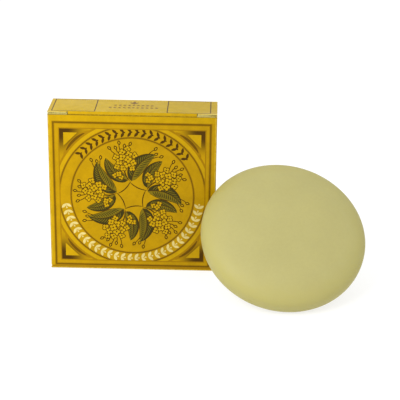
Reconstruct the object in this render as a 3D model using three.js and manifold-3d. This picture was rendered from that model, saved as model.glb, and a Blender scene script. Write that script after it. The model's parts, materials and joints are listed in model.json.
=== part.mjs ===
// Shaving soap puck leaning on its own folding carton. Millimetres, +Z up.
// Origin: middle of the carton's base on the table. +X is right, -Y is the printed front.
import * as THREE from 'three';
import Module from 'manifold-3d';
import { mergeVertices } from 'three/addons/utils/BufferGeometryUtils.js';

const wasm = await Module();
wasm.setup();

// ---------- Driving dimensions ----------

const CARTON_WIDTH = 75;
const CARTON_DEPTH = 21.2;
const CARTON_HEIGHT = 75;
const BOARD = 0.5; // carton board thickness
const GAP = 0.3; // clearance between neighbouring panels
const ROOT = 0.45; // distance from a crease's pivot to the panel that turns about it

const FRONT_DROP = 1.4; // how far the front panel's open edge lies below the top face
const LIP_RADIUS = 1.0; // outside radius of the closure's rolled front edge
const LIP_HALF_WIDTH = 28.5; // the rolled edge ends here, at the slit locks
const LOCK_GAP = 0.4; // width of each slit

const TONGUE_LENGTH = 9.5;
const TONGUE_SLANT = 25; // degrees that the tucked tongue leans away from the panel
const TONGUE_CORNER = 4;

const FLAP_LENGTH = 18;
const FLAP_SETBACK = 1.0; // from the closure's hinge side, at the flap's crease
const FLAP_TAPER = 0.54; // extra setback per millimetre of reach, so the flap clears the closure
const FLAP_FRONT = 3.4; // from the flap's free front edge to the carton's front face
const FLAP_SHOULDER = 8; // length of the wider part of the flap, which goes behind the slit lock
const FLAP_SHOULDER_FRONT = 0.7; // from the wider part's front edge to the carton's front face
const FLAP_CORNER = 2;

const GLUE_FLAP_WIDTH = 13;
const GLUE_FLAP_BEVEL = 5;
const GLUE_FLAP_MARGIN = 3.5; // from the glue flap's ends to the carton's ends
const GLUE_LINE_WIDTH = 6;
const GLUE_LINE_LENGTH = 58;
const GLUE_LINE_THICKNESS = 0.28;

const PUCK_DIAMETER = 73;
const PUCK_THICKNESS = 19.5;
const PUCK_BACK_DEPTH = 9; // from the widest line of the rim to the flat underside
const PUCK_FLAT_RADIUS = 24; // of the flat underside
const FACE_FULLNESS = 2.8; // superellipse exponent of the crowned face
const BACK_FULLNESS = 2.2; // superellipse exponent of the rim round the underside
const PUCK_FACE_RISE = 53.7; // degrees of the front face's normal above the table
const PUCK_FACE_TURN = 10.7; // degrees that the face turns to the right of straight ahead
const PUCK_X = 67.6;
const PUCK_Y = -27.3;
const PUCK_SIDES = 72;

// ---------- Derived places ----------

const sideX = CARTON_WIDTH / 2;
const frontY = -CARTON_DEPTH / 2;
const backY = CARTON_DEPTH / 2;
const midZ = CARTON_HEIGHT / 2;
const pivotY = backY - BOARD / 2;
const pivotZ = midZ - BOARD / 2;
const lipCentreY = frontY + BOARD + 0.1 + LIP_RADIUS;
const lipCentreZ = midZ - LIP_RADIUS;
const tonguePivotY = lipCentreY - LIP_RADIUS + BOARD / 2;
const tonguePivotZ = lipCentreZ - 0.05;
const sidePanelTop = midZ - BOARD - GAP;
const flapPivotZ = sidePanelTop - BOARD / 2;

// ---------- Materials ----------

function material(color, roughness) {
  return new THREE.MeshStandardMaterial({ color, roughness, metalness: 0 });
}

const printedGold = () => material(0xc69d12, 0.45);
const bareBoard = () => material(0xd8d2c0, 0.85);
const driedGlue = () => material(0xe6e2d2, 0.6);
const soap = () => material(0xc3bb7d, 0.55);

// ---------- Shape helpers ----------

function mesh(name, geometry, meshMaterial) {
  const result = new THREE.Mesh(geometry, meshMaterial);
  result.name = name;
  return result;
}

// A box from its lowest to its highest corner.
function block(low, high) {
  const size = high.map((value, axis) => value - low[axis]);
  const middle = high.map((value, axis) => (value + low[axis]) / 2);
  return new THREE.BoxGeometry(...size).translate(...middle);
}

// A closed outline whose listed corners are rounded: each corner is [x, y, radius].
function roundedShape(corners) {
  const shape = new THREE.Shape();
  corners.forEach(([x, y, radius], index) => {
    const here = new THREE.Vector2(x, y);
    const before = new THREE.Vector2(...corners.at(index - 1));
    const after = new THREE.Vector2(...corners[(index + 1) % corners.length]);
    const entry = before.clone().sub(here).setLength(radius).add(here);
    const exit = after.clone().sub(here).setLength(radius).add(here);
    if (index === 0) {
      shape.moveTo(entry.x, entry.y);
    } else {
      shape.lineTo(entry.x, entry.y);
    }
    if (radius > 0) {
      shape.quadraticCurveTo(x, y, exit.x, exit.y);
    }
  });
  shape.closePath();
  return shape;
}

// A flat sheet of board with its underside at z = 0.
function sheet(corners, thickness = BOARD) {
  return new THREE.ExtrudeGeometry(roundedShape(corners), {
    depth: thickness,
    bevelEnabled: false,
    curveSegments: 6,
  });
}

function toSolid(geometry) {
  const bare = geometry.clone();
  bare.deleteAttribute('normal');
  bare.deleteAttribute('uv');
  const merged = mergeVertices(bare, 1e-4);
  return new wasm.Manifold(new wasm.Mesh({
    numProp: 3,
    vertProperties: new Float32Array(merged.attributes.position.array),
    triVerts: new Uint32Array(merged.index.array),
  }));
}

function fromSolid(solid) {
  const { vertProperties, triVerts } = solid.getMesh();
  const geometry = new THREE.BufferGeometry();
  geometry.setAttribute('position', new THREE.BufferAttribute(vertProperties, 3));
  geometry.setIndex(new THREE.BufferAttribute(triVerts, 1));
  geometry.computeVertexNormals();
  return geometry;
}

// ---------- Carton walls ----------

// The front panel ends at the bottom crease, and its top edge is the open one of the tuck.
// The back panel is the same panel turned half a turn about X.
function wallPanel(name) {
  const low = [-sideX, frontY, -midZ];
  const high = [sideX, frontY + BOARD, midZ - FRONT_DROP];
  return mesh(name, block(low, high), printedGold());
}

function sidePanel(name, side) {
  const inner = sideX - BOARD;
  const wallGap = 0.02;
  const reach = backY - BOARD - wallGap;
  const low = [Math.min(side * inner, side * sideX), -reach, -sidePanelTop];
  const high = [Math.max(side * inner, side * sideX), reach, sidePanelTop];
  return mesh(name, block(low, high), printedGold());
}

// The glue flap is creased from the back panel and lies inside the left side panel.
function glueFlap() {
  const near = backY - BOARD - 0.1;
  const far = near - GLUE_FLAP_WIDTH;
  const end = midZ - GLUE_FLAP_MARGIN;
  const outline = [
    [near, -end, 0],
    [near, end, 0],
    [far, end - GLUE_FLAP_BEVEL, 0],
    [far, GLUE_FLAP_BEVEL - end, 0],
  ];
  const geometry = sheet(outline);
  geometry.rotateX(Math.PI / 2);
  geometry.rotateZ(Math.PI / 2);
  geometry.translate(-sideX + BOARD + GAP, 0, 0);
  return mesh('glue_flap', geometry, bareBoard());
}

function glueLine() {
  const x = -sideX + BOARD + GAP / 2;
  const y = backY - BOARD - GLUE_FLAP_WIDTH / 2;
  const half = [GLUE_LINE_THICKNESS / 2, GLUE_LINE_WIDTH / 2, GLUE_LINE_LENGTH / 2];
  const low = [x - half[0], y - half[1], -half[2]];
  const high = [x + half[0], y + half[1], half[2]];
  return mesh('glue_line', block(low, high), driedGlue());
}

// ---------- Tuck ends ----------

// The closure: a flat panel, square lock shoulders at both ends of its front edge,
// and between them an edge that rolls down into the tuck.
function closurePanel(name) {
  const rear = pivotY - ROOT;
  const slit = LIP_HALF_WIDTH + LOCK_GAP;
  const end = sideX - 0.05;
  const plate = sheet([
    [-end, rear, 0],
    [-end, frontY, 0],
    [-slit, frontY, 0],
    [-slit, lipCentreY, 0],
    [slit, lipCentreY, 0],
    [slit, frontY, 0],
    [end, frontY, 0],
    [end, rear, 0],
  ]).translate(0, 0, midZ - BOARD);

  const inset = 0.2; // how far the lip runs back into the plate before they are joined
  const profile = new THREE.Shape();
  profile.moveTo(inset, LIP_RADIUS);
  profile.lineTo(0, LIP_RADIUS);
  profile.absarc(0, 0, LIP_RADIUS, Math.PI / 2, Math.PI, false);
  profile.lineTo(BOARD - LIP_RADIUS, 0);
  profile.absarc(0, 0, LIP_RADIUS - BOARD, Math.PI, Math.PI / 2, true);
  profile.lineTo(inset, LIP_RADIUS - BOARD);
  profile.closePath();
  const lip = new THREE.ExtrudeGeometry(profile, {
    depth: 2 * LIP_HALF_WIDTH,
    bevelEnabled: false,
    curveSegments: 6,
  });
  lip.rotateX(Math.PI / 2);
  lip.rotateZ(Math.PI / 2);
  lip.translate(-LIP_HALF_WIDTH, lipCentreY, lipCentreZ);
  return mesh(name, fromSolid(toSolid(plate).add(toSolid(lip))), printedGold());
}

// The tongue hangs from the rolled edge and leans away from the wall it is tucked behind.
function tuckTongue(name) {
  const half = LIP_HALF_WIDTH;
  const geometry = sheet([
    [-half, -ROOT - 0.05, 0],
    [1 - half, -TONGUE_LENGTH, TONGUE_CORNER],
    [half - 1, -TONGUE_LENGTH, TONGUE_CORNER],
    [half, -ROOT - 0.05, 0],
  ]);
  geometry.translate(0, 0, -BOARD / 2);
  geometry.rotateX(Math.PI / 2);
  const tongue = mesh(name, geometry, printedGold());
  tongue.position.set(0, tonguePivotY, tonguePivotZ);
  tongue.rotation.x = THREE.MathUtils.degToRad(TONGUE_SLANT);
  return tongue;
}

// A dust flap folds in from the top of a side panel, under the closure.
function dustFlap(name, side) {
  const root = sideX - BOARD / 2 - ROOT;
  const tip = sideX - FLAP_LENGTH;
  const rear = backY - BOARD - FLAP_SETBACK;
  const front = frontY + FLAP_FRONT;
  const shoulderEnd = sideX - FLAP_SHOULDER;
  const shoulderFront = frontY + FLAP_SHOULDER_FRONT;
  const corners = [
    [side * root, rear, 0],
    [side * root, shoulderFront, 0],
    [side * shoulderEnd, shoulderFront, 0.8],
    [side * shoulderEnd, front, 0],
    [side * tip, front, FLAP_CORNER],
    [side * tip, rear - FLAP_TAPER * FLAP_LENGTH, FLAP_CORNER],
  ];
  const outline = side > 0 ? corners.reverse() : corners;
  return mesh(name, sheet(outline).translate(0, 0, flapPivotZ - BOARD / 2), bareBoard());
}

function tuckEnd(prefix) {
  const group = new THREE.Group();
  group.add(closurePanel(`${prefix}_closure_panel`));
  group.add(tuckTongue(`${prefix}_tuck_tongue`));
  group.add(dustFlap(`${prefix}_left_dust_flap`, -1));
  group.add(dustFlap(`${prefix}_right_dust_flap`, 1));
  return group;
}

// ---------- Soap puck ----------

// A quarter superellipse from (0, 1) at step 0 to (1, 0) at the last step.
function quarter(step, steps, fullness) {
  const angle = (step / steps) * (Math.PI / 2);
  return [Math.sin(angle) ** (2 / fullness), Math.cos(angle) ** (2 / fullness)];
}

// Half section from the middle of the flat underside, round the rim, to the crowned face.
function puckSection() {
  const radius = PUCK_DIAMETER / 2;
  const crownHeight = PUCK_THICKNESS - PUCK_BACK_DEPTH;
  const backSteps = 8;
  const faceSteps = 14;
  const points = [new THREE.Vector2(0, -PUCK_BACK_DEPTH)];
  for (let step = 0; step <= backSteps; step += 1) {
    const [out, deep] = quarter(step, backSteps, BACK_FULLNESS);
    const rimReach = (radius - PUCK_FLAT_RADIUS) * out;
    points.push(new THREE.Vector2(PUCK_FLAT_RADIUS + rimReach, -PUCK_BACK_DEPTH * deep));
  }
  for (let step = faceSteps - 1; step >= 0; step -= 1) {
    const [out, high] = quarter(step, faceSteps, FACE_FULLNESS);
    points.push(new THREE.Vector2(radius * out, crownHeight * high));
  }
  return points;
}

// The puck leans back with the lowest point of its rim on the table.
function soapPuck() {
  const section = puckSection();
  const rise = THREE.MathUtils.degToRad(PUCK_FACE_RISE);
  const reachDown = ({ x, y }) => x * Math.cos(rise) - y * Math.sin(rise);
  const centreHeight = Math.max(...section.map(reachDown));
  const geometry = new THREE.LatheGeometry(section, PUCK_SIDES);
  geometry.rotateX(Math.PI / 2);
  const puck = mesh('soap_puck', geometry, soap());
  puck.rotation.x = Math.PI / 2 - rise;
  const lean = new THREE.Group();
  lean.rotation.z = THREE.MathUtils.degToRad(PUCK_FACE_TURN);
  lean.position.set(PUCK_X, PUCK_Y, centreHeight);
  lean.add(puck);
  return lean;
}

// ---------- Assembly ----------

const carton = new THREE.Group();
carton.position.z = midZ;
carton.add(wallPanel('front_panel'));
carton.add(sidePanel('left_side_panel', -1));
carton.add(sidePanel('right_side_panel', 1));
carton.add(glueFlap());
carton.add(glueLine());
carton.add(tuckEnd('top'));

// The carton is a reverse tuck: its back panel and bottom end are the front panel and
// top end turned half a turn about X.
const halfTurn = new THREE.Group();
halfTurn.rotation.x = Math.PI;
halfTurn.add(wallPanel('back_panel'));
halfTurn.add(tuckEnd('bottom'));
carton.add(halfTurn);

const model = new THREE.Group();
model.add(carton);
model.add(soapPuck());

export default model;
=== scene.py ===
import json
import math
from collections import Counter

import bpy
import numpy as np
from mathutils import Matrix, Vector, noise
from mathutils.geometry import delaunay_2d_cdt


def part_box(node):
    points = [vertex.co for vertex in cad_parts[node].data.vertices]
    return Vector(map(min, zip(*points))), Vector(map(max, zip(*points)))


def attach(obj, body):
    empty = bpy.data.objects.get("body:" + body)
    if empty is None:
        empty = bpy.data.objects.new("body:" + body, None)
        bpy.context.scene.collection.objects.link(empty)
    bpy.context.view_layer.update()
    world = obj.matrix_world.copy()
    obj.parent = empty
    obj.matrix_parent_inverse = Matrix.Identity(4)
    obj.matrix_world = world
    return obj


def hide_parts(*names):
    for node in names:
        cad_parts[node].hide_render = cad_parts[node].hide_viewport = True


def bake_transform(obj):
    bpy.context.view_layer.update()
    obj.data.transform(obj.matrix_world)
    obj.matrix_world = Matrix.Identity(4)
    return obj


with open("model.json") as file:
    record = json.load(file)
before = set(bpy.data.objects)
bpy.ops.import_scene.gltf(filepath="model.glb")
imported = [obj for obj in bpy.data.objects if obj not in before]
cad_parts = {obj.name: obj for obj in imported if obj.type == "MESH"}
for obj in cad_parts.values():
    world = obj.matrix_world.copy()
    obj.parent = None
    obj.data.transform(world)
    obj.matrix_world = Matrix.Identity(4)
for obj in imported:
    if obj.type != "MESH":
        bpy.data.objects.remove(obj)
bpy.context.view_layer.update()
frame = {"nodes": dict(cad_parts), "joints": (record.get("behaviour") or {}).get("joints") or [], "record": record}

MM = 0.001

# ---------- Sizes read from the frame ----------

JOINTS = {joint["name"]: joint for joint in frame["joints"]}
MOUNTS = {mount["name"]: mount for mount in frame["record"]["mounts"]}


def box_mm(node):
    low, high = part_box(node)
    return np.round(np.array(low) / MM, 3), np.round(np.array(high) / MM, 3)


def pivot_mm(joint):
    return np.array(JOINTS[joint]["pos_m"]) / MM


front_low, front_high = box_mm("front_panel")
lid_high = box_mm("top_closure_panel")[1]
flap_low, flap_high = box_mm("top_right_dust_flap")
glue_flap_low, glue_flap_high = box_mm("glue_flap")
tongue_high = box_mm("top_tuck_tongue")[1]

HALF_WIDTH = front_high[0]
HALF_DEPTH = -front_low[1]
HEIGHT = lid_high[2]
BOARD = front_high[1] - front_low[1]
FRONT_TOP = front_high[2]
LID_REAR = lid_high[1]
LID_HALF_WIDTH = lid_high[0]
LIP_HALF_WIDTH = tongue_high[0]
LID_PIVOT = pivot_mm("top_closure_crease")
TONGUE_PIVOT = pivot_mm("top_tongue_crease")
FLAP_PIVOT = pivot_mm("top_right_flap_crease")

# ---------- Sizes of the folded board ----------

CORNER_RADIUS = 0.8  # outside radius of the four upright creases
LIP_RADIUS = 1.0  # outside radius of the lid's rolled front edge
HINGE_REACH = LID_PIVOT[1] - LID_REAR  # from a crease's pivot to the panel on either side
SLIT_WIDTH = 0.4
TONGUE_LENGTH = 9.5
TONGUE_START = HINGE_REACH + 0.05  # from the tongue's pivot to the tongue itself
TONGUE_TAPER = 1  # narrowing on each side towards the tip
TONGUE_CORNER = 4
TONGUE_SLANT = 25  # degrees
SLANT = math.radians(TONGUE_SLANT)
TONGUE_DOWN = np.array([0, math.sin(SLANT), -math.cos(SLANT)])
TONGUE_OUTWARD = np.array([0, -math.cos(SLANT), -math.sin(SLANT)])
FLAP_TAPER = 0.54
FLAP_CORNER = 2
FLAP_FRONT = flap_low[1] + 2.7  # a dust flap's front edge, inward of its shoulder
FLAP_SHOULDER = 8.85  # ends just beside the lid's rolled edge
FLAP_SHOULDER_FRONT = 0.3
FLAP_SHOULDER_CORNER = 0.3
FLAP_PRINT = 2.2  # how far the side's gold runs onto a dust flap
GLUE_BEVEL = 5
RAW_EDGE_SETBACK = 0.35  # of the left side's glued edge from the outside of the back
CREASE_TURN = 0.2  # how far the end points listed for a crease lie from its pivot
TONGUE_BEND_RADIUS = 0.3
BEND_STEPS = 6

# ---------- Colours, as sRGB ----------

INKS = {
    "gold": (168, 130, 0),
    "gold_light": (177, 140, 2),
    "gold_deep": (146, 108, 0),
    # painted highlight: a lighter gold for the lid, standing in for the stronger light on the top face
    "gold_top": (182, 152, 8),
    "bronze": (118, 86, 8),
    "line": (102, 74, 0),
    "umber": (98, 68, 0),
    "brown": (70, 46, 2),
    "cream": (200, 184, 116),
    "leaf_dark": (54, 48, 14),
    "leaf_light": (112, 96, 14),
}
CREASE_YELLOW = (188, 158, 40)
LINER = (196, 190, 174)
COATED_WHITE = (206, 199, 170)
RAW_EDGE = (188, 172, 92)
# painted shade: a darker gold-brown for the walls' cut edges, standing in for the dark line of shadow under the
# lid
EDGE_SHADE = (140, 112, 34)
SOAP = (165, 158, 102)
# painted shade: the rim's colour, a little darker and more saturated than the face
SOAP_RIM_SHADE = (165, 157, 94)
MOTTLE = (150, 140, 120)
GLUE = (196, 184, 146)


def linear(srgb):
    """Linear RGBA of an sRGB colour with values up to 255."""
    channels = [value / 255 for value in srgb]
    return (*[c / 12.92 if c <= 0.04045 else ((c + 0.055) / 1.055) ** 2.4 for c in channels], 1.0)


# ---------- Materials ----------


class Surface:
    """A Principled material with short helpers for the nodes in front of it.

    Inputs are given as a table of socket and plain value, or socket and another node's output.
    """

    def __init__(self, name):
        self.material = bpy.data.materials.new(name)
        self.material.use_nodes = True
        self.tree = self.material.node_tree
        self.place = self.node("ShaderNodeTexCoord", {}).outputs["Object"]

    def fill(self, node, inputs):
        for socket, value in inputs.items():
            if isinstance(value, bpy.types.NodeSocket):
                self.tree.links.new(value, node.inputs[socket])
            else:
                node.inputs[socket].default_value = value

    def node(self, kind, inputs, **settings):
        made = self.tree.nodes.new(kind)
        for key, value in settings.items():
            setattr(made, key, value)
        self.fill(made, inputs)
        return made

    def finished(self, inputs):
        """The material, once these inputs of its shader are filled."""
        self.fill(self.tree.nodes["Principled BSDF"], inputs)
        return self.material

    def noise(self, size, detail=3.0, stretch=(1, 1, 1)):
        """A noise value whose blotches are about this many millimetres across."""
        scale = [1 / share for share in stretch]
        mapping = self.node("ShaderNodeMapping", {"Vector": self.place, "Scale": scale})
        inputs = {"Vector": mapping.outputs["Vector"], "Scale": 1 / (size * MM), "Detail": detail}
        return self.node("ShaderNodeTexNoise", inputs).outputs["Fac"]

    def ramp(self, source, low, high, out_low=0.0, out_high=1.0):
        """Source from low to high becomes out_low to out_high, eased at both ends."""
        inputs = {"Value": source, "From Min": low, "From Max": high, "To Min": out_low, "To Max": out_high}
        eased = self.node("ShaderNodeMapRange", inputs, interpolation_type="SMOOTHSTEP")
        return eased.outputs["Result"]

    def blotches(self, size, detail=3.0, low=0.0, high=1.0):
        """Soft blotches about this many millimetres across, with values from low to high."""
        return self.ramp(self.noise(size, detail), 0.3, 0.7, low, high)

    def calculate(self, operation, *operands):
        step = self.node("ShaderNodeMath", dict(enumerate(operands)), operation=operation)
        return step.outputs["Value"]

    def mix(self, factor, first, second, blend_type="MIX"):
        """A colour between two, each an sRGB colour or another node's output."""
        inputs = {"Factor": factor}
        for socket, colour in ((6, first), (7, second)):
            inputs[socket] = linear(colour) if isinstance(colour, tuple) else colour
        return self.node("ShaderNodeMix", inputs, data_type="RGBA", blend_type=blend_type).outputs[2]

    def coordinates(self):
        """Outputs X, Y and Z of a place on the surface, in metres."""
        return self.node("ShaderNodeSeparateXYZ", {"Vector": self.place}).outputs

    def across(self):
        """From 0 at the carton's left edge to 1 at its right edge."""
        return self.ramp(self.coordinates()["X"], -HALF_WIDTH * MM, HALF_WIDTH * MM)

    def distance_from_line(self, point, direction):
        """How far a place on the surface is from the line through the point, in metres."""
        offset = self.node("ShaderNodeVectorMath", {0: self.place, 1: point}, operation="SUBTRACT")
        inputs = {0: offset.outputs["Vector"], 1: direction}
        product = self.node("ShaderNodeVectorMath", inputs, operation="CROSS_PRODUCT")
        inputs = {0: product.outputs["Vector"]}
        return self.node("ShaderNodeVectorMath", inputs, operation="LENGTH").outputs["Value"]

    def bump(self, height, depth):
        """Relief of this depth in millimetres."""
        inputs = {"Height": height, "Strength": 1.0, "Distance": depth * MM}
        return self.node("ShaderNodeBump", inputs).outputs["Normal"]


PRINT_SHEEN = 0.1  # of the varnish, seen at a low angle
PRINT_REFLECTION = 0.06
MOTTLE_SHARE = 0.1  # how strongly the mottling shows
FIBRE_DEPTH = 0.012  # of the board's fibres under the varnish
SOAP_FACE_END = 26  # from the puck's axis, where its colour starts to turn to the rim's painted shade
SOAP_RIM_START = 37


def scaled(srgb, share):
    return tuple(min(255, value * share) for value in srgb)


def finish_print(surface, colour):
    """The varnished face of the carton: faint mottling, soft gloss and the board's fibres."""
    mottle = surface.blotches(9, 4)
    grain = surface.ramp(surface.noise(0.35, 2), 0.35, 0.75, 0.0, 0.5)
    shade = surface.calculate("ADD", surface.calculate("MULTIPLY", mottle, 0.5), grain)
    share = surface.calculate("MULTIPLY", shade, MOTTLE_SHARE)
    return surface.finished({
        "Base Color": surface.mix(share, colour, MOTTLE, "MULTIPLY"),
        "Specular IOR Level": PRINT_REFLECTION,
        "Sheen Weight": PRINT_SHEEN,
        "Sheen Roughness": 0.35,
        "Roughness": surface.blotches(14, 3, 0.36, 0.48),
        "Normal": surface.bump(surface.noise(0.5, 4, (1, 1, 2.5)), FIBRE_DEPTH),
    })


def ink(name, srgb):
    """One printed ink: a little uneven in its density, with painted shade that darkens it towards the right."""
    surface = Surface(f"{name}_print")
    density = surface.blotches(3)
    # painted light: paler on the left and darker on the right, as if lit from the left
    lit_left = surface.mix(density, srgb, scaled(srgb, 1.05))
    shaded_right = surface.mix(density, scaled(srgb, 0.93), scaled(srgb, 0.98))
    return finish_print(surface, surface.mix(surface.across(), lit_left, shaded_right))


def worn_gold():
    """Gold that has cracked to a paler yellow where the board is creased."""
    surface = Surface("gold_on_crease")
    wear = surface.ramp(surface.noise(0.8, 4, (1, 1, 3)), 0.35, 0.6, 0.25, 0.95)
    return finish_print(surface, surface.mix(wear, INKS["gold"], CREASE_YELLOW))


def corner_fade():
    """Brown in the four corners of the panel's inner square, fading to gold along its sides."""
    surface = Surface("brown_fading_to_gold")
    place = surface.coordinates()
    squares = []
    for axis, middle, half in (("X", 0.0, SQUARE_HALF_X), ("Z", PRINT_CENTRE_Z, SQUARE_HALF_Z)):
        offset = surface.calculate("SUBTRACT", place[axis], middle * MM)
        off_centre = surface.calculate("ABSOLUTE", offset)
        from_corner = surface.calculate("SUBTRACT", half * MM, off_centre)
        squares.append(surface.calculate("MULTIPLY", from_corner, from_corner))
    distance = surface.calculate("SQRT", surface.calculate("ADD", *squares))
    fade = surface.ramp(distance, FADE_START * MM, FADE_END * MM)
    return finish_print(surface, surface.mix(fade, INKS["brown"], INKS["gold"]))


def bare_board(name, srgb, edge=False):
    """Unprinted board: matt, with short fibres and darker flecks."""
    surface = Surface(name)
    fibres = surface.ramp(surface.noise(0.6, 5, (1, 1, 4)), 0.35, 0.7)
    base = surface.mix(fibres, scaled(srgb, 0.94), srgb)
    flecks = surface.ramp(surface.noise(0.5, 2, (3, 3, 1)), 0.66, 0.74, 0.0, 0.45)
    layers = (8, 8, 0.5) if edge else (1, 1, 3)
    return surface.finished({
        "Base Color": surface.mix(flecks, base, scaled(srgb, 0.78)),
        "Specular IOR Level": 0.15,
        "Roughness": surface.blotches(2, 3, 0.72, 0.9),
        "Normal": surface.bump(surface.noise(0.4, 5, layers), 0.03),
    })


def soap_material():
    """Milled soap: satin, slightly translucent, with painted shade that makes it a little richer and darker in
    colour towards the rim.
    """
    surface = Surface("milled_soap")
    mount = MOUNTS["puck_underside"]
    axis = Vector(mount["axis"]).normalized()
    from_axis = surface.distance_from_line(Vector(mount["pos_m"]), axis)
    rim_shade_share = surface.ramp(from_axis, SOAP_FACE_END * MM, SOAP_RIM_START * MM)
    cloud = surface.calculate("MULTIPLY", surface.blotches(16, 4), 0.6)
    grain = surface.calculate("MULTIPLY", surface.blotches(1.2, 4), 0.4)
    shade = surface.calculate("ADD", cloud, grain)
    face = surface.mix(shade, scaled(SOAP, 0.985), scaled(SOAP, 1.015))
    return surface.finished({
        # painted shade: the colour turns more saturated and a little darker towards the rim
        "Base Color": surface.mix(rim_shade_share, face, SOAP_RIM_SHADE),
        "Specular IOR Level": 0.25,
        "Subsurface Weight": 0.35,
        "Subsurface Radius": (1.0, 0.85, 0.45),
        "Subsurface Scale": 2.5 * MM,
        "Roughness": surface.blotches(7, 4, 0.46, 0.58),
        "Normal": surface.bump(surface.noise(2.2, 5), 0.02),
    })


def glue_material():
    surface = Surface("dried_glue_bead")
    return surface.finished({
        "Base Color": surface.mix(surface.blotches(1.5), scaled(GLUE, 0.93), GLUE),
        "Specular IOR Level": 0.4,
        "Transmission Weight": 0.2,
        "Roughness": surface.blotches(3, 3, 0.3, 0.5),
        "Normal": surface.bump(surface.noise(1.0, 4), 0.05),
    })


# ---------- Layout of the print ----------

PRINT_CENTRE_Z = 36.0
PRINT_CENTRE = (0.0, PRINT_CENTRE_Z)
BLEED = 1  # how far print that runs off an edge is drawn past it
CORNERS = ((-1, -1), (-1, 1), (1, -1), (1, 1))  # sides in X and in Z
LINE_CORE = 0.6  # width of a drawn line's dark middle
LINE_SOFT = 0.35  # width of the paler ink along each of its sides
LINE_WIDTH = LINE_CORE + 2 * LINE_SOFT
CIRCLE_CORE = 0.45  # the same for a circle
CIRCLE_SOFT = 0.3
FRAME_LEFT = 1.8 - HALF_WIDTH
FRAME_RIGHT = HALF_WIDTH - 2.1
FRAME_BOTTOM = 1.5
FRAME_TOP = 70.9
SQUARE_HALF_X = 32.9
SQUARE_HALF_Z = 31.9
SQUARE_LINE = 0.5
RIM_OUTER = 35.2  # radius of the pale rim round the ornamental ring
RIM_LINE = 0.9
BAND_OUTER = 33.0  # radii of the ring's two circles
BAND_INNER = 27.65
SPANDREL_BAND = 2.3  # width of the dark bands round a corner's triangle
SPANDREL_SIDE = 6.2  # of the triangle
SPANDREL_FOOT = 2.4  # width of the dark band along the triangle's long side
SPANDREL_ARCS = (("gold_deep", 13, 2.8), ("umber", 9.5, 2.3))  # ink, half angle and width
ARC_RADIUS = RIM_OUTER + 1.0  # of those bands, half hidden by the rim
FADE_START = 4
FADE_END = 14
UPPER_LAUREL = (54, -54, 18)  # first and last angle from the top, and how many pairs of leaves
LOWER_LAUREL = (96, 264, 28)
LAUREL_LEAF = (2.9, 1.25)  # length and width
LAUREL_LEAN = 52  # degrees from the ring to a leaf
LAUREL_SPREAD = 1.05  # from the middle of the ring to the middle of a leaf
LAUREL_BEAD = 0.36
LAUREL_STALK = 0.3
SPRIG_COUNT = 5
SPRIG_TURN = 10  # degrees
SIDE_MARGIN = 1.7  # outside a narrow side's frame
BACK_RING_INSET = 4  # how much smaller the back's ring is than the front's
BACK_RULE_GAP = 0.7
BACK_CORNER = (27.5, 27.0)  # from the ring's centre to a corner's palmette
FINE_LINE = 0.45  # width of the lines on the lid and the base
LID_RULES = (1.75, 20.75, 52.75, 72.0)  # from the lid's left end
LID_ROWS = ((1.4, 8.5), (-2.2, 12.0))  # place and reach of each row of leaves on the lid
LID_STEP = 2.1  # from leaf to leaf

MATERIALS = {
    **{name: ink(name, srgb) for name, srgb in INKS.items()},
    "fade": corner_fade(),
    "crease": worn_gold(),
    "liner": bare_board("carton_liner", LINER),
    "coated": bare_board("unprinted_coating", COATED_WHITE),
    "raw_edge": bare_board("cut_board_edge", RAW_EDGE, edge=True),
    # the walls' cut edges, in painted shade
    "stained_edge": bare_board("cut_edge_with_painted_shade", EDGE_SHADE, edge=True),
    "soap": soap_material(),
    "glue": glue_material(),
}

# ---------- Flat outlines ----------


def rectangle(left, bottom, right, top):
    return np.array([(left, bottom), (right, bottom), (right, top), (left, top)], float)


def on_circle(centre, radius, angles):
    return np.array(centre) + radius * np.stack([np.cos(angles), np.sin(angles)], axis=1)


def disc(centre, radius, sides=96):
    return on_circle(centre, radius, np.linspace(0, 2 * math.pi, sides, endpoint=False))


def left_of(directions):
    return np.stack([-directions[..., 1], directions[..., 0]], axis=-1)


def turned_by(points, degrees, centre=(0, 0)):
    """The points turned anticlockwise about the origin, then moved to the centre."""
    angle = math.radians(degrees)
    spin = np.array([[math.cos(angle), -math.sin(angle)], [math.sin(angle), math.cos(angle)]])
    return np.asarray(points) @ spin.T + np.array(centre)


def curve(start, end, bulge, steps):
    """Points on a shallow arch from start to end; it rises to the left by bulge of its length."""
    start = np.array(start, float)
    reach = np.array(end, float) - start
    share = np.linspace(0, 1, steps)[:, None]
    return start + reach * share + left_of(reach) * bulge * 4 * share * (1 - share)


def left_sides(line):
    """Unit directions to the left of a line at each of its points."""
    headings = np.gradient(line, axis=0)
    return left_of(headings / np.linalg.norm(headings, axis=1)[:, None])


def ribbon(middle, half_widths):
    """Outline of a strip of changing width along a line of points; its two ends are points."""
    sides = left_sides(middle)
    left = middle + sides * half_widths[:, None]
    right = middle - sides * half_widths[:, None]
    return np.concatenate([right, left[-2:0:-1]])


def stroke(start, end, bulge, width, steps=9):
    """A drawn line that swells a little in its middle and ends in points."""
    share = np.linspace(0, 1, steps)
    return ribbon(curve(start, end, bulge, steps), width / 2 * np.sin(math.pi * share) ** 0.35)


def almond(centre, length, width, degrees):
    """A pointed oval that stands on its end, turned by the angle."""
    share = np.linspace(0, 1, 9)
    upright = np.stack([np.zeros(9), (share - 0.5) * length], axis=1)
    outline = ribbon(upright, width / 2 * np.sin(math.pi * share) ** 0.8)
    return turned_by(outline, degrees, centre)


# ---------- Printed ornament ----------


def inset_box(box, inset):
    left, bottom, right, top = box
    return left + inset, bottom + inset, right - inset, top - inset


def rule(art, box, width, line_ink, inside_ink):
    """A plain rectangular line and what lies inside it."""
    art.append((line_ink, rectangle(*box)))
    art.append((inside_ink, rectangle(*inset_box(box, width))))


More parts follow.
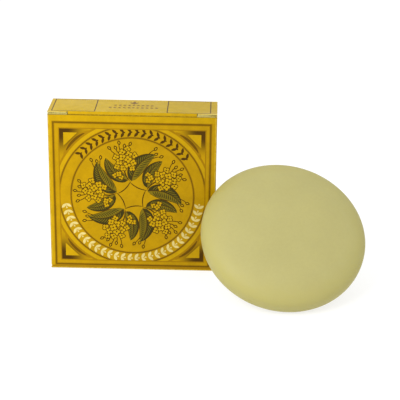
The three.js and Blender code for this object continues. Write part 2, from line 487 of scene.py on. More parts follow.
def soft_rule(art, box, inside_ink):
    """A rectangular line with paler sides and what lies inside it."""
    rule(art, box, LINE_SOFT, "gold_deep", "line")
    rule(art, inset_box(box, LINE_SOFT + LINE_CORE), LINE_SOFT, "gold_deep", inside_ink)


def soft_circle(art, centre, radius, inside_ink):
    """A circle with paler sides, whose line has this radius at its middle."""
    edge = CIRCLE_CORE / 2 + CIRCLE_SOFT
    art.append(("gold_deep", disc(centre, radius + edge)))
    art.append(("line", disc(centre, radius + CIRCLE_CORE / 2)))
    art.append(("gold_deep", disc(centre, radius - CIRCLE_CORE / 2)))
    art.append((inside_ink, disc(centre, radius - edge)))


def arc_band(centre, radius, degrees, half_angle, width):
    """A band along a circle that narrows to a point at both ends."""
    share = np.linspace(0, 1, 25)
    angles = np.radians(degrees + half_angle * (2 * share - 1))
    return ribbon(on_circle(centre, radius, angles), width / 2 * np.sin(math.pi * share) ** 0.6)


def palmette(art, centre, size, degrees, ornament_ink):
    """Three small leaves that fan out from a bead."""
    for lean, length, width in ((0, 0.92, 0.3), (38, 0.7, 0.24), (-38, 0.7, 0.24)):
        tip = turned_by((0, length / 2), lean) - np.array((0, 0.42))
        place = turned_by(tip * size, degrees, centre)
        art.append((ornament_ink, almond(place, length * size, width * size, lean + degrees)))
    bead = turned_by((0, -0.44 * size), degrees, centre)
    art.append((ornament_ink, disc(bead, 0.11 * size, 8)))


def garland(art, centre, radius, first, last, count, ornament_ink):
    """Pairs of laurel leaves and a bead, in steps along an arc that starts at the top."""
    step = (last - first) / count

    def at(degrees, outward=0):
        return turned_by((0, radius + outward), degrees, centre)

    for index in range(count):
        angle = first + step * (index + 0.5)
        for side in (1, -1):
            middle = at(angle + step * 0.08, side * LAUREL_SPREAD)
            art.append((ornament_ink, almond(middle, *LAUREL_LEAF, angle + 90 - side * LAUREL_LEAN)))
        art.append((ornament_ink, disc(at(angle + step * 0.42), LAUREL_BEAD, 8)))
        stalk = stroke(at(angle), at(angle + step * 0.5), 0, LAUREL_STALK, 4)
        art.append((ornament_ink, stalk))


def leaf(art, base, tip, bulge, width):
    """A leaf drawn with the pen: a dark half, a light half with hatching, and an outline."""
    steps = 17
    share = np.linspace(0, 1, steps)
    spine = curve(base, tip, bulge, steps)
    half_widths = width / 2 * np.sin(math.pi * share**0.8) ** 0.75
    sides = left_sides(spine)
    art.append(("brown", ribbon(spine, half_widths + 0.32 * np.sin(math.pi * share) ** 0.4)))
    for half_ink, side in (("leaf_dark", 1), ("leaf_light", -1)):
        edge = spine + side * sides * half_widths[:, None]
        art.append((half_ink, np.concatenate([spine, edge[-2:0:-1]])))
    for index in range(2, steps - 3):
        for side, vein, reach, weight in ((1, "leaf_light", 0.8, 0.3), (-1, "leaf_dark", 0.92, 0.42)):
            root = spine[index] + sides[index] * side * 0.12
            end = spine[index + 2] + sides[index + 2] * side * half_widths[index + 2] * reach
            art.append((vein, stroke(root, end, 0.1 * side, weight, 5)))
    art.append(("brown", ribbon(spine[:-1], 0.2 * (1 - share[:-1] * 0.7))))


def flower(art, centre, radius, degrees):
    """A small four-petalled flower with a dark eye."""
    for petal_ink, reach, size in (("brown", 0.58, 0.6), ("gold_light", 0.56, 0.4)):
        for petal in range(4):
            middle = turned_by((0, radius * reach), degrees + 90 * petal, centre)
            art.append((petal_ink, disc(middle, radius * size, 10)))
    art.append(("brown", disc(centre, radius * 0.2, 6)))


def blossoms(art, centre, count, spacing, radius, phase):
    """A dense head of small flowers in a sunflower pattern, the outermost drawn first."""
    golden_angle = 137.508
    for index in range(count - 1, -1, -1):
        place = turned_by((spacing * math.sqrt(index + 0.4), 0), index * golden_angle + phase, centre)
        flower(art, place, radius * (1 - 0.2 * index / count), index * 31 + phase)


def buds(art, centre, inner, outer, first, last, count):
    """Fine stalks that end in closed buds."""
    for index, angle in enumerate(np.linspace(first, last, count)):
        reach = outer - 1.6 * (index % 2)
        start = turned_by((inner, 0), angle, centre)
        end = turned_by((reach, 0), angle, centre)
        art.append(("brown", stroke(start, end, 0.08, 0.4, 6)))
        art.append(("brown", almond(end, 2.3, 1.5, angle - 90)))
        art.append(("gold_light", almond(end, 1.2, 0.6, angle - 90)))


def wreath(art, centre):
    """The round picture: five sprigs of leaf and blossom that turn round a plain middle."""
    for index in range(SPRIG_COUNT):
        degrees = 360 / SPRIG_COUNT * index + SPRIG_TURN

        def at(x, y):
            return turned_by((x, y), degrees, centre)

        art.append(("brown", stroke(at(-6.6, 2.2), at(0.6, 7.4), -0.1, 0.5)))
        art.append(("brown", stroke(at(0.4, 7.0), at(-0.5, 16.0), 0.14, 0.6)))
        buds(art, at(6.5, 14.5), 2.0, 9.8, 12 + degrees, 38 + degrees, 3)
        buds(art, at(-1.0, 17.5), 3.6, 8.4, 58 + degrees, 128 + degrees, 5)
        leaf(art, at(0.8, 7.2), at(13.6, 17.8), 0.15, 6.6)
        leaf(art, at(-0.6, 7.8), at(-8.6, 19.8), 0.15, 5.2)
        blossoms(art, at(0.2, 17.6), 13, 1.5, 1.75, degrees)
        blossoms(art, at(-4.6, 11.0), 3, 1.1, 1.4, degrees + 40)


def corner_ornament(art, side_x, side_z):
    """Dark bands round a gold triangle, which fade away from the square's corner."""
    outer = np.array((side_x * SQUARE_HALF_X, PRINT_CENTRE_Z + side_z * SQUARE_HALF_Z))
    inward = -np.array((side_x, side_z))
    along_x, along_z = np.array((inward[0], 0)), np.array((0, inward[1]))
    corner = outer + inward * SPANDREL_BAND
    reach = FADE_END + 2
    for side, other in ((along_x, along_z), (along_z, along_x)):
        far = outer + side * reach
        band = [outer, far, far + other * SPANDREL_BAND, outer + other * SPANDREL_BAND]
        art.append(("fade", np.array(band)))
    near, far = SPANDREL_SIDE * 0.9, SPANDREL_SIDE + SPANDREL_FOOT * math.sqrt(2)
    foot = [along_x * near, along_x * far, along_z * far, along_z * near]
    art.append(("fade", corner + np.array(foot)))
    diagonal = math.degrees(math.atan2(side_z, side_x))
    for band_ink, half_angle, width in SPANDREL_ARCS:
        art.append((band_ink, arc_band(PRINT_CENTRE, ARC_RADIUS, diagonal, half_angle, width)))
    triangle = [corner, corner + along_x * SPANDREL_SIDE, corner + along_z * SPANDREL_SIDE]
    art.append(("gold_light", np.array(triangle)))


def margins(art):
    """Everything outside the inner square: its own line, the frame's line and the plain margins, the top and left
    ones lighter as painted highlight and the bottom one darker as painted shade.
    """
    paper_left, paper_right = -HALF_WIDTH - BLEED, HALF_WIDTH + BLEED
    frame_box = (FRAME_LEFT, FRAME_BOTTOM, FRAME_RIGHT, FRAME_TOP)
    half_x, half_z = SQUARE_HALF_X, SQUARE_HALF_Z
    square = (-half_x, PRINT_CENTRE_Z - half_z, half_x, PRINT_CENTRE_Z + half_z)
    nested = [
        ("gold", (paper_left, 0, paper_right, HEIGHT)),
        ("gold_deep", frame_box),
        ("line", inset_box(frame_box, LINE_SOFT)),
        ("gold_deep", inset_box(frame_box, LINE_SOFT + LINE_CORE)),
        ("gold", inset_box(frame_box, LINE_WIDTH)),
        ("gold_deep", square),
        (None, inset_box(square, SQUARE_LINE)),
    ]
    for (ring_ink, outer), (_, inner) in zip(nested, nested[1:]):
        left, bottom, right, top = outer
        inner_left, inner_bottom, inner_right, inner_top = inner
        strips = [
            (left, bottom, right, inner_bottom),
            (left, inner_top, right, top),
            (left, inner_bottom, inner_left, inner_top),
            (inner_right, inner_bottom, right, inner_top),
        ]
        art += [(ring_ink, rectangle(*strip)) for strip in strips]
    # painted shade: the bottom margin in the deeper gold, darker along the carton's foot
    art.append(("gold_deep", rectangle(paper_left, 0, paper_right, FRAME_BOTTOM)))
    # painted highlight: the top and left margins in the lighter gold, as if lit from above and from the left
    art.append(("gold_light", rectangle(paper_left, FRAME_TOP, paper_right, HEIGHT)))
    art.append(("gold_light", rectangle(paper_left, FRAME_BOTTOM, FRAME_LEFT, FRAME_TOP)))


def front_art():
    """The front: a framed square, a ring of laurel and a round picture of leaf and blossom."""
    bottom, top = PRINT_CENTRE_Z - SQUARE_HALF_Z, PRINT_CENTRE_Z + SQUARE_HALF_Z
    art = [("gold", rectangle(-SQUARE_HALF_X, bottom, SQUARE_HALF_X, top))]
    for side_x, side_z in CORNERS:
        corner_ornament(art, side_x, side_z)
    art.append(("gold_deep", disc(PRINT_CENTRE, RIM_OUTER + RIM_LINE)))
    art.append(("gold_light", disc(PRINT_CENTRE, RIM_OUTER)))
    for radius in (BAND_OUTER, BAND_INNER):
        soft_circle(art, PRINT_CENTRE, radius, "gold")
    middle = (BAND_INNER + BAND_OUTER) / 2
    garland(art, PRINT_CENTRE, middle, *UPPER_LAUREL, "brown")
    garland(art, PRINT_CENTRE, middle, *LOWER_LAUREL, "cream")
    wreath(art, PRINT_CENTRE)
    margins(art)
    return art


def side_art():
    """A narrow side: a framed field with a palmette at each end and lozenges between."""
    art = []
    half = HALF_DEPTH - SIDE_MARGIN
    soft_rule(art, (-half, FRAME_BOTTOM + 0.2, half, FRAME_TOP), "gold")
    for place_z, degrees in ((FRAME_TOP - 8, 0), (FRAME_BOTTOM + 8.6, 180)):
        palmette(art, (0, place_z), 7.5, degrees, "brown")
    for place_z in np.linspace(19, 53, 6):
        art.append(("brown", almond((0, place_z), 4.6, 2.4, 0)))
        art.append(("gold_light", almond((0, place_z), 2.8, 1.2, 0)))
        for side in (-1, 1):
            art.append(("brown", disc((side * 3.4, place_z + 3.4), 0.45, 12)))
    return art


def back_art():
    """The back: the front's frame and ring round a small rosette of leaf and blossom."""
    centre = (0.0, HEIGHT - PRINT_CENTRE_Z)
    art = []
    frame_box = (-FRAME_RIGHT, HEIGHT - FRAME_TOP, FRAME_RIGHT, HEIGHT - FRAME_BOTTOM)
    soft_rule(art, frame_box, "gold")
    rule(art, inset_box(frame_box, LINE_WIDTH + BACK_RULE_GAP), 0.3, "bronze", "gold")
    for radius in (BAND_OUTER, BAND_INNER):
        soft_circle(art, centre, radius - BACK_RING_INSET, "gold")
    garland(art, centre, (BAND_OUTER + BAND_INNER) / 2 - BACK_RING_INSET, 0, 360, 44, "brown")
    for side_x, side_z in CORNERS:
        corner = (side_x * BACK_CORNER[0], centre[1] + side_z * BACK_CORNER[1])
        palmette(art, corner, 7, -45 * side_x if side_z > 0 else -135 * side_x, "brown")
    for degrees in range(0, 360, 60):
        base = turned_by((0, 2.5), degrees, centre)
        leaf(art, base, turned_by((1.5, 15), degrees, centre), 0.15, 4.4)
        flower(art, turned_by((0, 10.5), degrees + 32, centre), 1.3, degrees)
    blossoms(art, centre, 7, 1.15, 1.2, 0)
    return art


def lid_art():
    """The top: two open fields at the ends and a small garland in the middle."""
    art = []
    front_line = 1.9 - HALF_DEPTH
    rear_line = HALF_DEPTH - 0.9
    places = [place - HALF_WIDTH for place in LID_RULES]
    for left, right in (places[:2], places[2:]):
        field = (left - 0.2, front_line - 0.2, right + 0.2, rear_line)
        # the fields are filled with the lid's lighter gold, a painted highlight
        rule(art, field, FINE_LINE, "brown", "gold_top")
    for row, reach in LID_ROWS:
        for side in (-1, 1):
            for step in range(int(reach / LID_STEP)):
                x = side * (1.9 + LID_STEP * step)
                for lean in (58, -58):
                    middle = (x, row + math.copysign(0.5, lean))
                    art.append(("bronze", almond(middle, 1.9, 0.75, side * lean + 90 * (1 - side))))
        art.append(("bronze", disc((0, row), 0.7, 16)))
    palmette(art, (0, 5.6), 4.6, 0, "bronze")
    return art


def base_art():
    """The bottom: a plain frame."""
    art = []
    field = (4 - HALF_WIDTH, 3 - HALF_DEPTH, HALF_WIDTH - 4, HALF_DEPTH - 2.6)
    rule(art, field, FINE_LINE, "brown", "gold")
    return art


# ---------- Folded sheets of board ----------


class FoldedPath:
    """A line in a plane, made of straight runs and of round bends to the left."""

    def __init__(self, start, heading, runs):
        """Each run is a length, or a (radius, degrees) pair."""
        self.parts = []
        point, heading = np.array(start, float), math.radians(heading)
        length = 0.0
        for run in runs:
            radius, angle = (run[0], math.radians(run[1])) if isinstance(run, tuple) else (None, 0)
            span = radius * angle if radius else run
            self.parts.append((length, point, heading, radius))
            length += span
            point = self._along(self.parts[-1], np.array([length]))[0]
            heading += angle
        self.length = length

    @staticmethod
    def _along(part, distance):
        start, point, heading, radius = part
        step = distance - start
        if radius is None:
            return point + step[:, None] * np.array([math.cos(heading), math.sin(heading)])
        turn = heading + step / radius
        right = np.stack([np.sin(turn), -np.cos(turn)], axis=1)
        first_right = np.array([math.sin(heading), -math.cos(heading)])
        return point - radius * first_right + radius * right

    def at(self, distance):
        """Points at these distances along the line."""
        distance = np.asarray(distance, float)
        starts = [part[0] for part in self.parts]
        which = np.clip(np.searchsorted(starts, distance, side="right") - 1, 0, len(starts) - 1)
        points = np.zeros((len(distance), 2))
        for index, part in enumerate(self.parts):
            chosen = which == index
            points[chosen] = self._along(part, distance[chosen])
        return points

    def bends(self):
        """Distances at which each bend starts and ends."""
        ends = [part[0] for part in self.parts[1:]] + [self.length]
        return [(part[0], end) for part, end in zip(self.parts, ends) if part[3] is not None]

    def bend_rows(self):
        """Distances at which a bend starts, ends or needs another row of points."""
        return [row for bend in self.bends() for row in np.linspace(*bend, BEND_STEPS + 1)]


def anticlockwise(polygon):
    x, y = polygon[:, 0], polygon[:, 1]
    doubled_area = np.sum(x * np.roll(y, -1) - np.roll(x, -1) * y)
    return polygon if doubled_area > 0 else polygon[::-1]


def triangulate(outline, art, rows):
    """Cuts the outline along every printed edge and row. Gives points, triangles and their inks."""
    points, faces, edges = [], [], []
    for polygon in [outline] + [polygon for _, polygon in art]:
        polygon = anticlockwise(polygon)
        faces.append(list(range(len(points), len(points) + len(polygon))))
        points += [Vector(point) for point in polygon]
    for start, end in rows:
        edges.append((len(points), len(points) + 1))
        points += [Vector(start), Vector(end)]
    made = delaunay_2d_cdt(points, edges, faces, 0, 1e-5)
    corners = np.array([(point.x, point.y) for point in made[0]])
    triangles, inks = [], []
    for triangle, covered in zip(made[2], made[5]):
        if 0 in covered:
            triangles.append(list(triangle))
            inks.append(art[max(covered) - 1][0] if max(covered) > 0 else None)
    used = sorted({corner for triangle in triangles for corner in triangle})
    renumbered = {old: new for new, old in enumerate(used)}
    triangles = [[renumbered[corner] for corner in triangle] for triangle in triangles]
    return corners[used], triangles, inks


def in_scene(name, data, place=Matrix()):
    """A new object in the scene."""
    made = bpy.data.objects.new(name, data)
    made.matrix_world = place
    bpy.context.scene.collection.objects.link(made)
    return made


def new_mesh(name, points, faces, names):
    """A smooth mesh from points in millimetres, faces and the name of each face's material."""
    mesh = bpy.data.meshes.new(name)
    mesh.from_pydata((np.array(points) * MM).tolist(), [], faces)
    slots = sorted(set(names))
    for slot_name in slots:
        mesh.materials.append(MATERIALS[slot_name])
    mesh.polygons.foreach_set("material_index", [slots.index(slot_name) for slot_name in names])
    mesh.polygons.foreach_set("use_smooth", [True] * len(faces))
    mesh.update()
    return mesh


def surface_normals(place, across, up):
    step = 1e-3
    along = place(across + step, up) - place(across - step, up)
    rise = place(across, up + step) - place(across, up - step)
    normals = np.cross(along, rise)
    return normals / np.linalg.norm(normals, axis=1)[:, None]


def board(name, outline, place, art=(), rows=(), face="gold", back="liner", edge="raw_edge",
          thickness=BOARD):
    """A closed sheet of board. Place gives the outside face's points for flat coordinates."""
    flat, triangles, inks = triangulate(np.array(outline, float), list(art), rows)
    outside = place(flat[:, 0], flat[:, 1])
    normals = surface_normals(place, flat[:, 0], flat[:, 1])
    inside = outside - thickness * normals
    count = len(flat)
    faces = [list(triangle) for triangle in triangles]
    faces += [[corner + count for corner in reversed(triangle)] for triangle in triangles]
    names = [printed or face for printed in inks] + [back] * len(triangles)

    directed = Counter((a, b) for t in triangles for a, b in zip(t, (t[1], t[2], t[0])))
    rim = [(a, b) for a, b in directed if (b, a) not in directed]
    faces += [[a, a + count, b + count, b] for a, b in rim]
    names += [edge] * len(rim)

    mesh = new_mesh(name, np.concatenate([outside, inside]), faces, names)
    face_normals = np.concatenate([normals, -normals])
    corner_normals = []
    for polygon in mesh.polygons:
        if polygon.index < 2 * len(triangles):
            corner_normals += [face_normals[vertex] for vertex in polygon.vertices]
        else:
            corner_normals += [np.array(polygon.normal)] * len(polygon.vertices)
    mesh.normals_split_custom_set(corner_normals)
    return in_scene(name, mesh)


def upright_rows(places, bottom, top):
    return [((place, bottom), (place, top)) for place in places]


def crease_strips(path, first, bottom, top):
    """Printed strips over the bends of a path whose flat coordinate starts at first."""
    bends = [(first + start, first + end) for start, end in path.bends()]
    return [("crease", rectangle(start, bottom, end, top)) for start, end in bends]


# ---------- Carton walls ----------

CORNER_X = HALF_WIDTH - CORNER_RADIUS
CORNER_Y = HALF_DEPTH - CORNER_RADIUS
HALF_BEND = (CORNER_RADIUS, 45)
FULL_BEND = (CORNER_RADIUS, 90)
HALF_BEND_LENGTH = CORNER_RADIUS * math.pi / 4


def corner_middle(side_x, side_y):
    """Middle of an upright crease, and the heading there when going round anticlockwise."""
    outward = math.atan2(side_y, side_x)
    place = np.array([side_x * CORNER_X, side_y * CORNER_Y])
    point = place + CORNER_RADIUS * np.array([math.cos(outward), math.sin(outward)])
    return point, math.degrees(outward) + 90


def wall(name, start, heading, runs, first, bottom, top, art):
    path = FoldedPath(start, heading, runs)

    def place(across, up):
        plan = path.at(across - first)
        return np.column_stack([plan, up])

    rows = upright_rows([first + row for row in path.bend_rows()], bottom, top)
    outline = rectangle(first, bottom, first + path.length, top)
    art = art + crease_strips(path, first, bottom, top)
    # cut edges in the darker colour, a painted shade
    return board(name, outline, place, art, rows, edge="stained_edge")


def facing_left(face_x):
    """Places a flat sheet so that it faces the left side of the carton."""

    def place(across, up):
        return np.column_stack([np.full_like(up, face_x), -across, up])

    return place


def carton_walls():
    hinge_top = LID_PIVOT[2] - HINGE_REACH
    flap_top = FLAP_PIVOT[2] - HINGE_REACH
    half_front = CORNER_X + HALF_BEND_LENGTH
    point, heading = corner_middle(-1, -1)
    runs = [HALF_BEND, 2 * CORNER_X, HALF_BEND]
    bottom = HEIGHT - hinge_top
    front = wall("front_wall", point, heading, runs, -half_front, bottom, FRONT_TOP, front_art())
    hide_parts("front_panel")

    half_side = CORNER_Y + HALF_BEND_LENGTH
    point, heading = corner_middle(1, -1)
    runs = [HALF_BEND, 2 * CORNER_Y, HALF_BEND]
    right = wall("right_wall", point, heading, runs, -half_side, HEIGHT - flap_top, flap_top, side_art())
    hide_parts("right_side_panel")

    glue_face = glue_flap_low[0]
    point, heading = corner_middle(1, 1)
    runs = [HALF_BEND, CORNER_X - glue_face - CORNER_RADIUS, FULL_BEND]
    back = wall("back_wall", point, heading, runs, -half_front, HEIGHT - FRONT_TOP, hinge_top, back_art())
    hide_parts("back_panel")

    raw_edge = HALF_DEPTH - RAW_EDGE_SETBACK
    runs = [raw_edge + CORNER_Y, HALF_BEND]
    point = (-HALF_WIDTH, raw_edge)
    left = wall("left_wall", point, 270, runs, -raw_edge, HEIGHT - flap_top, flap_top, side_art())
    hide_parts("left_side_panel")

    flap_bottom, flap_end = glue_flap_low[2], glue_flap_high[2]
    near, far = -CORNER_Y, -glue_flap_low[1]
    outline = [
        (near, flap_bottom),
        (far, flap_bottom + GLUE_BEVEL),
        (far, flap_end - GLUE_BEVEL),
        (near, flap_end),
    ]
    tab = board("glue_tab", outline, facing_left(glue_face), face="coated")
    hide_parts("glue_flap")
    for piece in (front, right, back, left, tab):
        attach(piece, "carton")


def glue_bead():
    """The strip of dried glue: a flattened bead with a wavy outline."""
    low, high = box_mm("glue_line")
    steps = 60
    share = np.linspace(0, 1, steps)
    sway = np.array([noise.noise(Vector((value * 9, 0, 4))) for value in share])
    swell = np.array([noise.noise(Vector((value * 14, 3, 1))) for value in share])
    half_width = (high[1] - low[1]) / 2
    middle = np.column_stack([-(low[1] + high[1]) / 2 + 0.5 * sway, low[2] + (high[2] - low[2]) * share])
    widths = half_width * (0.86 + 0.12 * swell) * np.sin(math.pi * share) ** 0.08
    outline = ribbon(middle, widths)
    bead = board("glue_strip", outline, facing_left(low[0]), face="glue", back="glue", edge="glue",
                 thickness=high[0] - low[0])
    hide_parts("glue_line")
    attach(bead, "carton")


# ---------- Tuck ends ----------

LIP_BEND_Y = TONGUE_PIVOT[1] - BOARD / 2 + LIP_RADIUS  # where the lid starts to roll down
LIFT_START = LIP_BEND_Y + 5  # where a front corner that stands up starts to rise
LIFT_RUN = 7
TOP_SHOULDER_LIFT = (0.45, 0.12)  # how far the lid's right and left front corners stand up
NO_LIFT = (0, 0)


def half_turn(points):
    """The same points at the other end of the carton, turned half a turn about X."""
    return points * (1, -1, -1) + (0, 0, HEIGHT)


def same(points):
    """No turn, for the top."""
    return points


def turned(turn, place):
    """Place, followed by the turn."""
    return lambda across, up: turn(place(across, up))


def lid_place(across, up, shoulder_lift):
    """The flat lid, its rolled front edge, and its shoulders outside the slits."""
    roll = FoldedPath((LID_REAR, HEIGHT), 180, [LID_REAR - LIP_BEND_Y, (LIP_RADIUS, 90)])
    rolled = roll.at(LID_REAR - up)
    slit_middle = LIP_HALF_WIDTH + SLIT_WIDTH / 2
    shoulder = np.abs(across) > slit_middle
    y = np.where(shoulder, up, rolled[:, 0])
    z = np.where(shoulder, HEIGHT, rolled[:, 1])
    outward = np.clip((np.abs(across) - slit_middle) / (HALF_WIDTH - slit_middle), 0, 1)
    forward = np.clip((LIFT_START - up) / LIFT_RUN, 0, 1)
    lift = np.where(across > 0, *shoulder_lift)
    z = z + lift * outward**1.5 * forward**2
    return np.column_stack([across, y, z])


def lid(name, art, turn, shoulder_lift):
    roll_end = LIP_BEND_Y - LIP_RADIUS * math.pi / 2
    slit = LIP_HALF_WIDTH + SLIT_WIDTH
    right_half = [
        (LIP_HALF_WIDTH, roll_end),
        (LIP_HALF_WIDTH, LIP_BEND_Y),
        (slit, LIP_BEND_Y),
        (slit, -HALF_DEPTH),
        (LID_HALF_WIDTH, -HALF_DEPTH),
        (LID_HALF_WIDTH, LID_REAR),
    ]
    outline = right_half + [(-x, y) for x, y in reversed(right_half)]
    rows = []
    for up in np.linspace(LIP_BEND_Y, roll_end, BEND_STEPS + 3):
        rows.append(((-LIP_HALF_WIDTH, up), (LIP_HALF_WIDTH, up)))
    for side in (-1, 1):
        for up in np.linspace(-HALF_DEPTH, LIFT_START, 8)[1:]:
            rows.append(((side * slit, up), (side * LID_HALF_WIDTH, up)))
        for across in np.linspace(slit, LID_HALF_WIDTH, 7)[:-1]:
            rows.append(((side * across, -HALF_DEPTH), (side * across, LIFT_START)))
    lip_strip = ("gold_light", rectangle(-LIP_HALF_WIDTH, roll_end, LIP_HALF_WIDTH, LIP_BEND_Y - 0.4))

    def place(across, up):
        return lid_place(across, up, shoulder_lift)

    # the lid's face is the lighter gold, a painted highlight
    return board(name, outline, turned(turn, place), [lip_strip] + art, rows, face="gold_top")


def tongue_place(across, up):
    """The tongue hangs from its pivot and leans into the carton; up is 0 at the pivot."""
    start = TONGUE_PIVOT + TONGUE_OUTWARD * BOARD / 2
    return start + np.outer(across, (1, 0, 0)) - np.outer(up, TONGUE_DOWN)


def rounded(corners, steps=6):
    """An outline whose listed corners, each (x, y, radius), are rounded."""
    outline = []
    for index, (x, y, radius) in enumerate(corners):
        here = np.array((x, y), float)
        if radius == 0:
            outline.append(here)
            continue
        before = np.array(corners[index - 1][:2], float) - here
        after = np.array(corners[(index + 1) % len(corners)][:2], float) - here
        entry = here + before / np.linalg.norm(before) * radius
        leave = here + after / np.linalg.norm(after) * radius
        for share in np.linspace(0, 1, steps):
            outline.append((1 - share) ** 2 * entry + 2 * share * (1 - share) * here + share**2 * leave)
    return outline


def tongue(name, turn):
    half = LIP_HALF_WIDTH
    tip_half = half - TONGUE_TAPER
    corners = [
        (half, -TONGUE_START, 0),
        (-half, -TONGUE_START, 0),
        (-tip_half, -TONGUE_LENGTH, TONGUE_CORNER),
        (tip_half, -TONGUE_LENGTH, TONGUE_CORNER),
    ]
    return board(name, rounded(corners), turned(turn, tongue_place))


def flap(name, side, turn):
    root = FLAP_PIVOT[0] - HINGE_REACH
    tip = flap_low[0]
    rear, front = flap_high[1], FLAP_FRONT
    shoulder_end = HALF_WIDTH - FLAP_SHOULDER
    shoulder_front = FLAP_SHOULDER_FRONT - HALF_DEPTH
    tip_rear = rear - FLAP_TAPER * (HALF_WIDTH - tip)
    corners = [
        (root, rear, 0),
        (tip, tip_rear, FLAP_CORNER),
        (tip, front, FLAP_CORNER),
        (shoulder_end, front, 0),
        (shoulder_end, shoulder_front, FLAP_SHOULDER_CORNER),
        (root, shoulder_front, 0),
    ]
    outline = [(side * point[0], point[1]) for point in rounded(corners)]
    if side < 0:
        outline.reverse()

    def place(across, up):
        return np.column_stack([across, up, np.full_like(up, FLAP_PIVOT[2] + BOARD / 2)])

    left, right = sorted((side * (root - FLAP_PRINT), side * (root + BLEED)))
    gold_edge = ("gold", rectangle(left, shoulder_front - BLEED, right, rear + BLEED))
    return board(name, outline, turned(turn, place), [gold_edge], face="coated")


def crease(name, plane, start, heading, runs, span, turn, ends):
    """A strip of board that bends between two panels. Plane is the axis it runs along."""
    path = FoldedPath(start, heading, runs)

    def place(along, across):
        section = path.at(along)
        if plane == "x":
            return np.column_stack([across, section])
        return np.column_stack([section[:, 1], across, section[:, 0]])

    rows = upright_rows(path.bend_rows(), *span)
    outline = rectangle(0, span[0], path.length, span[1])
    strip = board(name, outline, turned(turn, place), (), rows, face="crease")
    ends = [turn(point) * MM for point in ends]
    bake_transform(strip)


def bend_runs(before, after, radius, degrees):
    """Runs of a bend whose two straight lines would meet after these lengths."""
    tangent = radius * math.tan(math.radians(degrees) / 2)
    return [before - tangent, (radius, degrees), after - tangent]


def tuck_end(prefix, art, turn, shoulder_lift):
    closure = lid(f"{prefix}_lid", art, turn, shoulder_lift)
    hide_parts(f"{prefix}_closure_panel")
    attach(closure, f"{prefix}_closure")
    tucked = tongue(f"{prefix}_tongue", turn)
    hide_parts(f"{prefix}_tuck_tongue")
    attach(tucked, f"{prefix}_tongue")

    meet = HINGE_REACH + BOARD / 2
    hinge = bend_runs(meet, meet, BOARD, 90)
    ends = [LID_PIVOT - (0, 0, CREASE_TURN), LID_PIVOT - (0, CREASE_TURN, 0)]
    start = (LID_PIVOT[1] + BOARD / 2, LID_PIVOT[2] - HINGE_REACH)
    crease(f"{prefix}_lid_crease", "x", start, 90, hinge,
           (-LID_HALF_WIDTH, LID_HALF_WIDTH), turn, ends)

    offset = BOARD / 2 * math.tan(SLANT / 2)
    lip_end = HEIGHT - LIP_RADIUS
    before, after = lip_end - TONGUE_PIVOT[2] + offset, TONGUE_START + offset
    bend = bend_runs(before, after, TONGUE_BEND_RADIUS, TONGUE_SLANT)
    ends = [TONGUE_PIVOT, TONGUE_PIVOT + TONGUE_DOWN * 2 * CREASE_TURN]
    start = (TONGUE_PIVOT[1] - BOARD / 2, lip_end)
    crease(f"{prefix}_tongue_crease", "x", start, 270, bend,
           (-LIP_HALF_WIDTH, LIP_HALF_WIDTH), turn, ends)

    for side, label in ((-1, "left"), (1, "right")):
        folded = flap(f"{prefix}_{label}_flap", side, turn)
        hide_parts(f"{prefix}_{label}_dust_flap")
        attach(folded, f"{prefix}_{label}_flap")
        pivot = FLAP_PIVOT * (side, 1, 1)
        ends = [pivot - (0, 0, CREASE_TURN), pivot - (side * CREASE_TURN, 0, 0)]
        if side > 0:
            start, heading = (pivot[2] + BOARD / 2, pivot[0] - HINGE_REACH), 90
        else:
            start, heading = (pivot[2] - HINGE_REACH, pivot[0] - BOARD / 2), 0
        crease(f"{prefix}_{label}_flap_crease", "y", start, heading,
               hinge, (flap_low[1], flap_high[1]), turn, ends)


# ---------- Soap puck ----------

PUCK_BACK_DEPTH = 9  # from the widest line of the rim to the flat underside
PUCK_FLAT_RADIUS = 24
FACE_FULLNESS = 2.8  # superellipse exponents of the crowned face and of the rim below it
BACK_FULLNESS = 2.2
PUCK_SIDES = 224
PUCK_FACE_STEPS = 44
PUCK_BACK_STEPS = 20
PUCK_FLAT_STEPS = 8


def superellipse(steps, fullness):
    """A quarter from (0, 1) to (1, 0)."""
    angles = np.linspace(0, math.pi / 2, steps + 1)
    return np.stack([np.sin(angles) ** (2 / fullness), np.cos(angles) ** (2 / fullness)], axis=1)


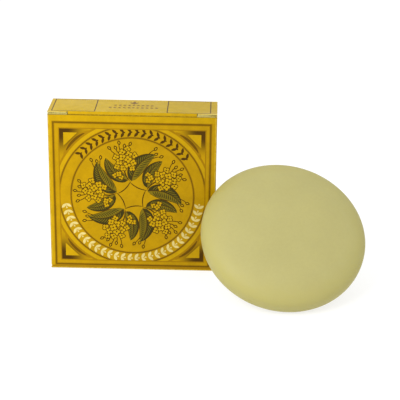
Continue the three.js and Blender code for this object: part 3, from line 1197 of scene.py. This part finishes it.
def soap_puck():
    mount = MOUNTS["puck_underside"]
    up = -np.array(mount["axis"])
    up = up / np.linalg.norm(up)
    underside = np.array(mount["pos_m"]) / MM
    cad = np.array([vertex.co for vertex in frame["nodes"]["soap_puck"].data.vertices]) / MM - underside
    heights = cad @ up
    radius = np.linalg.norm(cad - np.outer(heights, up), axis=1).max()
    crown = heights.max() - PUCK_BACK_DEPTH

    flat = np.linspace(0, PUCK_FLAT_RADIUS, PUCK_FLAT_STEPS, endpoint=False)[1:]
    section = [(distance, 0.0) for distance in flat]
    for out, deep in superellipse(PUCK_BACK_STEPS, BACK_FULLNESS):
        reach = PUCK_FLAT_RADIUS + (radius - PUCK_FLAT_RADIUS) * out
        section.append((reach, PUCK_BACK_DEPTH * (1 - deep)))
    for out, high in superellipse(PUCK_FACE_STEPS, FACE_FULLNESS)[::-1][1:-1]:
        section.append((radius * out, PUCK_BACK_DEPTH + crown * high))

    across = np.cross((0, 0, 1), up)
    across /= np.linalg.norm(across)
    aside = np.cross(up, across)
    angles = [2 * math.pi * index / PUCK_SIDES for index in range(PUCK_SIDES)]
    spokes = [math.cos(angle) * across + math.sin(angle) * aside for angle in angles]
    points = [underside]
    for distance, height in section:
        points += [underside + up * height + spoke * distance for spoke in spokes]
    points.append(underside + up * (PUCK_BACK_DEPTH + crown))
    last = len(points) - 1

    faces = []
    for index in range(PUCK_SIDES):
        following = (index + 1) % PUCK_SIDES
        faces.append((0, 1 + following, 1 + index))
        for ring in range(len(section) - 1):
            near, far = 1 + ring * PUCK_SIDES, 1 + (ring + 1) * PUCK_SIDES
            faces.append((near + index, near + following, far + following, far + index))
        outer = 1 + (len(section) - 1) * PUCK_SIDES
        faces.append((outer + index, outer + following, last))
    soap = in_scene("soap", new_mesh("soap", points, faces, ["soap"] * len(faces)))
    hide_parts("soap_puck")
    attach(soap, "puck")


# ---------- Stage, light and camera ----------

FLOOR_GREY = (155, 155, 155)
FLOOR_GLOW = 0.72
FLOOR_RADIUS = 8  # metres, like every length here but the lens and its sensor
FLOOR_Z = -0.0002
SKY_STRENGTH = 1.0
KEY_PLACE = (-0.24, -0.4, 0.36)
KEY_TARGET = (0.03, -0.01, 0.035)
KEY_SIZE = 0.3
KEY_WATTS = 2.3
CAMERA_PLACE = (0.03686, -0.5371, 0.23515)
CAMERA_PAN = 0.694  # degrees
CAMERA_DIP = 20.821  # degrees below level
CAMERA_ROLL = 0.974
LENS = 112.5
SENSOR_WIDTH = 36


def floor():
    """A table top that glows a little, so that it looks white and the shadows on it stay pale."""
    where = (0, 0, FLOOR_Z)
    bpy.ops.mesh.primitive_circle_add(vertices=64, radius=FLOOR_RADIUS, fill_type="NGON", location=where)
    ground = bpy.context.object
    ground.name = "studio_floor"
    surface = Surface("pale_floor")
    material = surface.finished({
        "Base Color": surface.mix(surface.noise(60, 2), FLOOR_GREY, scaled(FLOOR_GREY, 1.01)),
        "Roughness": 0.9,
        "Specular IOR Level": 0.0,
        "Emission Color": (1, 1, 1, 1),
        "Emission Strength": FLOOR_GLOW,
    })
    ground.data.materials.append(material)


def soft_light(name, place, target, size, watts):
    data = bpy.data.lights.new(name, "AREA")
    data.size = size
    data.energy = watts
    facing = (Vector(target) - Vector(place)).to_track_quat("-Z", "Y")
    in_scene(name, data, Matrix.LocRotScale(Vector(place), facing, None))


def lights():
    world = bpy.data.worlds.new("white_studio")
    world.use_nodes = True
    background = world.node_tree.nodes["Background"]
    background.inputs["Color"].default_value = (1, 1, 1, 1)
    background.inputs["Strength"].default_value = SKY_STRENGTH
    bpy.context.scene.world = world
    soft_light("key_light", KEY_PLACE, KEY_TARGET, KEY_SIZE, KEY_WATTS)
    bpy.context.scene.view_settings.view_transform = "Standard"


def camera():
    data = bpy.data.cameras.new("camera")
    data.sensor_width = SENSOR_WIDTH
    data.lens = LENS
    data.clip_start = 0.01
    data.clip_end = 50
    pan = Matrix.Rotation(math.radians(CAMERA_PAN), 4, "Z")
    tilt = Matrix.Rotation(math.radians(90 - CAMERA_DIP), 4, "X")
    roll = Matrix.Rotation(math.radians(CAMERA_ROLL), 4, "Z")
    place = Matrix.Translation(CAMERA_PLACE) @ pan @ tilt @ roll
    bpy.context.scene.camera = in_scene("camera", data, place)


carton_walls()
glue_bead()
tuck_end("top", lid_art(), same, TOP_SHOULDER_LIFT)
tuck_end("bottom", base_art(), half_turn, NO_LIFT)
soap_puck()
floor()
lights()
camera()
